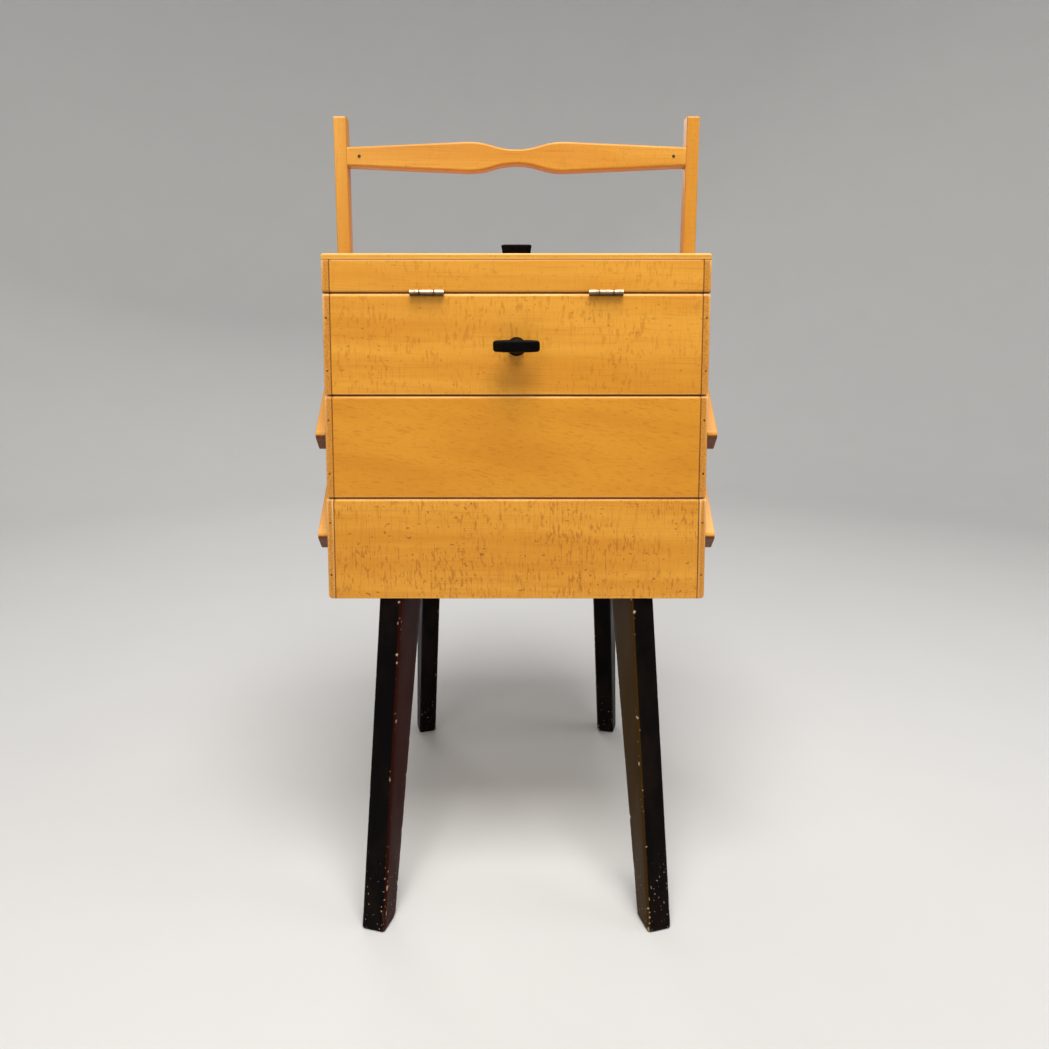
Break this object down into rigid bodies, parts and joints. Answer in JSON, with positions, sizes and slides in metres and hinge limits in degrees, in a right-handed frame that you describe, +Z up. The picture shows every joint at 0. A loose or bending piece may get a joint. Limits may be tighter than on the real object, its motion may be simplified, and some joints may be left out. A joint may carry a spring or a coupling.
{
  "type": "sewing box with trays",
  "caption": "Wooden sewing box on splayed black legs with lidded trays that swing out on paired arms and a bar handle between two posts.",
  "frame": {"origin": "on the floor, under the middle of the box", "axes": "+Z up, the front faces -Y, +X to the right"},
  "size_m": [0.3754, 0.395, 0.747],
  "materials": {
    "box_wood": "satin lacquered beech with ray flecks",
    "middle_wood": "satin lacquered beech with a plain slanting grain",
    "handle_wood": "satin lacquered beech",
    "arm_wood": "satin lacquered beech",
    "panel_wood": "bare pale plywood",
    "leg_paint": "worn black paint over beech",
    "knob_paint": "worn black paint over beech",
    "hinge_metal": "aged brass",
    "screw_metal": "aged steel"
  },
  "bodies": {
    "back_lid": {"back_lid_back_board": "box_wood", "back_lid_front_board": "box_wood", "back_lid_hinge_leaves": "hinge_metal", "back_lid_knob": "knob_paint", "back_lid_panel": "box_wood", "back_lid_sides": "box_wood"},
    "back_lower_inner_arms_body": {"back_lower_inner_arms": "arm_wood"},
    "back_lower_outer_arms_body": {"back_lower_outer_arms": "arm_wood"},
    "back_mid_tray": {"back_mid_back_board": "middle_wood", "back_mid_bottom_panel": "panel_wood", "back_mid_front_board": "middle_wood", "back_mid_pivot_screws": "screw_metal", "back_mid_sides": "middle_wood"},
    "back_top_tray": {"back_pull_knob": "knob_paint", "back_top_back_board": "box_wood", "back_top_bottom_panel": "panel_wood", "back_top_front_board": "box_wood", "back_top_pivot_screws": "screw_metal", "back_top_sides": "box_wood", "back_tray_hinge_leaves": "hinge_metal"},
    "back_upper_inner_arms_body": {"back_upper_inner_arms": "arm_wood"},
    "back_upper_outer_arms_body": {"back_upper_outer_arms": "arm_wood"},
    "base": {"base_back_board": "box_wood", "base_bottom_panel": "panel_wood", "base_front_board": "box_wood", "base_left_side": "box_wood", "base_pivot_screws": "screw_metal", "base_right_side": "box_wood", "frame_screws": "screw_metal", "handle_bar": "handle_wood", "handle_pins": "screw_metal", "left_post": "handle_wood", "leg_back_left": "leg_paint", "leg_back_right": "leg_paint", "leg_front_left": "leg_paint", "leg_front_right": "leg_paint", "leg_rails": "leg_paint", "right_post": "handle_wood"},
    "front_lid": {"front_lid_back_board": "box_wood", "front_lid_front_board": "box_wood", "front_lid_hinge_leaves": "hinge_metal", "front_lid_knob": "knob_paint", "front_lid_panel": "box_wood", "front_lid_sides": "box_wood"},
    "front_lower_inner_arms_body": {"front_lower_inner_arms": "arm_wood"},
    "front_lower_outer_arms_body": {"front_lower_outer_arms": "arm_wood"},
    "front_mid_tray": {"front_mid_back_board": "middle_wood", "front_mid_bottom_panel": "panel_wood", "front_mid_front_board": "middle_wood", "front_mid_pivot_screws": "screw_metal", "front_mid_sides": "middle_wood"},
    "front_top_tray": {"front_pull_knob": "knob_paint", "front_top_back_board": "box_wood", "front_top_bottom_panel": "panel_wood", "front_top_front_board": "box_wood", "front_top_pivot_screws": "screw_metal", "front_top_sides": "box_wood", "front_tray_hinge_leaves": "hinge_metal"},
    "front_upper_inner_arms_body": {"front_upper_inner_arms": "arm_wood"},
    "front_upper_outer_arms_body": {"front_upper_outer_arms": "arm_wood"}
  },
  "joints": [
    {"name": "front_lower_arm_swing", "type": "hinge", "parent": "base", "child": "front_lower_outer_arms_body", "pos_m": [0, -0.122, 0.3415], "axis": [1, 0, 0], "range_deg": [0, 86.6]},
    {"name": "front_mid_tray_level", "type": "hinge", "parent": "front_lower_outer_arms_body", "child": "front_mid_tray", "pos_m": [0, -0.056, 0.4115], "axis": [1, 0, 0], "range_deg": [-86.6, 0]},
    {"name": "front_lower_follower_swing", "type": "hinge", "parent": "base", "child": "front_lower_inner_arms_body", "pos_m": [0, -0.088, 0.3415], "axis": [1, 0, 0], "range_deg": [0, 86.6]},
    {"name": "front_upper_arm_swing", "type": "hinge", "parent": "front_mid_tray", "child": "front_upper_outer_arms_body", "pos_m": [0, -0.122, 0.4335], "axis": [1, 0, 0], "range_deg": [0, 86.6]},
    {"name": "front_top_tray_level", "type": "hinge", "parent": "front_upper_outer_arms_body", "child": "front_top_tray", "pos_m": [0, -0.056, 0.5035], "axis": [1, 0, 0], "range_deg": [-86.6, 0]},
    {"name": "front_upper_follower_swing", "type": "hinge", "parent": "front_mid_tray", "child": "front_upper_inner_arms_body", "pos_m": [0, -0.088, 0.4335], "axis": [1, 0, 0], "range_deg": [0, 86.6]},
    {"name": "front_lid_swing", "type": "hinge", "parent": "front_top_tray", "child": "front_lid", "pos_m": [0, -0.1473, 0.5575], "axis": [1, 0, 0], "range_deg": [0, 180]},
    {"name": "back_lower_arm_swing", "type": "hinge", "parent": "base", "child": "back_lower_outer_arms_body", "pos_m": [0, 0.122, 0.3415], "axis": [-1, 0, 0], "range_deg": [0, 86.6]},
    {"name": "back_mid_tray_level", "type": "hinge", "parent": "back_lower_outer_arms_body", "child": "back_mid_tray", "pos_m": [0, 0.056, 0.4115], "axis": [-1, 0, 0], "range_deg": [-86.6, 0]},
    {"name": "back_lower_follower_swing", "type": "hinge", "parent": "base", "child": "back_lower_inner_arms_body", "pos_m": [0, 0.088, 0.3415], "axis": [-1, 0, 0], "range_deg": [0, 86.6]},
    {"name": "back_upper_arm_swing", "type": "hinge", "parent": "back_mid_tray", "child": "back_upper_outer_arms_body", "pos_m": [0, 0.122, 0.4335], "axis": [-1, 0, 0], "range_deg": [0, 86.6]},
    {"name": "back_top_tray_level", "type": "hinge", "parent": "back_upper_outer_arms_body", "child": "back_top_tray", "pos_m": [0, 0.056, 0.5035], "axis": [-1, 0, 0], "range_deg": [-86.6, 0]},
    {"name": "back_upper_follower_swing", "type": "hinge", "parent": "back_mid_tray", "child": "back_upper_inner_arms_body", "pos_m": [0, 0.088, 0.4335], "axis": [-1, 0, 0], "range_deg": [0, 86.6]},
    {"name": "back_lid_swing", "type": "hinge", "parent": "back_top_tray", "child": "back_lid", "pos_m": [0, 0.1473, 0.5575], "axis": [-1, 0, 0], "range_deg": [0, 180]}
  ],
  "couplings": [
    {"joint": "front_mid_tray_level", "follows": "front_lower_arm_swing", "ratio": -1},
    {"joint": "front_lower_follower_swing", "follows": "front_lower_arm_swing", "ratio": 1},
    {"joint": "front_top_tray_level", "follows": "front_upper_arm_swing", "ratio": -1},
    {"joint": "front_upper_follower_swing", "follows": "front_upper_arm_swing", "ratio": 1},
    {"joint": "back_mid_tray_level", "follows": "back_lower_arm_swing", "ratio": -1},
    {"joint": "back_lower_follower_swing", "follows": "back_lower_arm_swing", "ratio": 1},
    {"joint": "back_top_tray_level", "follows": "back_upper_arm_swing", "ratio": -1},
    {"joint": "back_upper_follower_swing", "follows": "back_upper_arm_swing", "ratio": 1}
  ]
}
